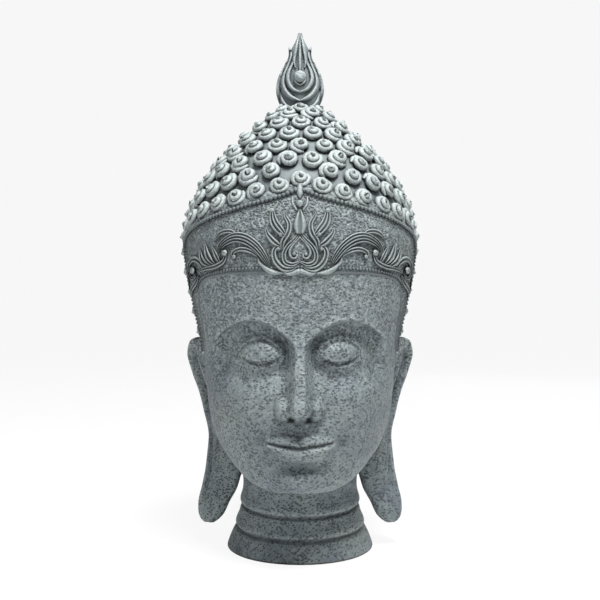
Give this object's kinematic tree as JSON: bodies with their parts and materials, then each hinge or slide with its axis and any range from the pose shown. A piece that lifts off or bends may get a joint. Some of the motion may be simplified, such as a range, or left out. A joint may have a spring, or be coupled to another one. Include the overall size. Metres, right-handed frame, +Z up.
{
  "type": "resin buddha head",
  "caption": "Cast resin head ornament on a flared neck foot, with snail-shell curls, a scrollwork hair band and a flame finial.",
  "frame": {"origin": "middle of the flat round underside of the neck's foot", "axes": "+Z up to the finial, -Y where the face looks, +X to the right in a view of the face"},
  "size_m": [0.1414, 0.1507, 0.3],
  "materials": {
    "stone_look_resin": "painted cast polyresin with a stone look: cold grey, dark wash in the pits, pale dry-brushed high points"
  },
  "bodies": {
    "root": {"resin_head": "stone_look_resin"}
  },
  "joints": []
}
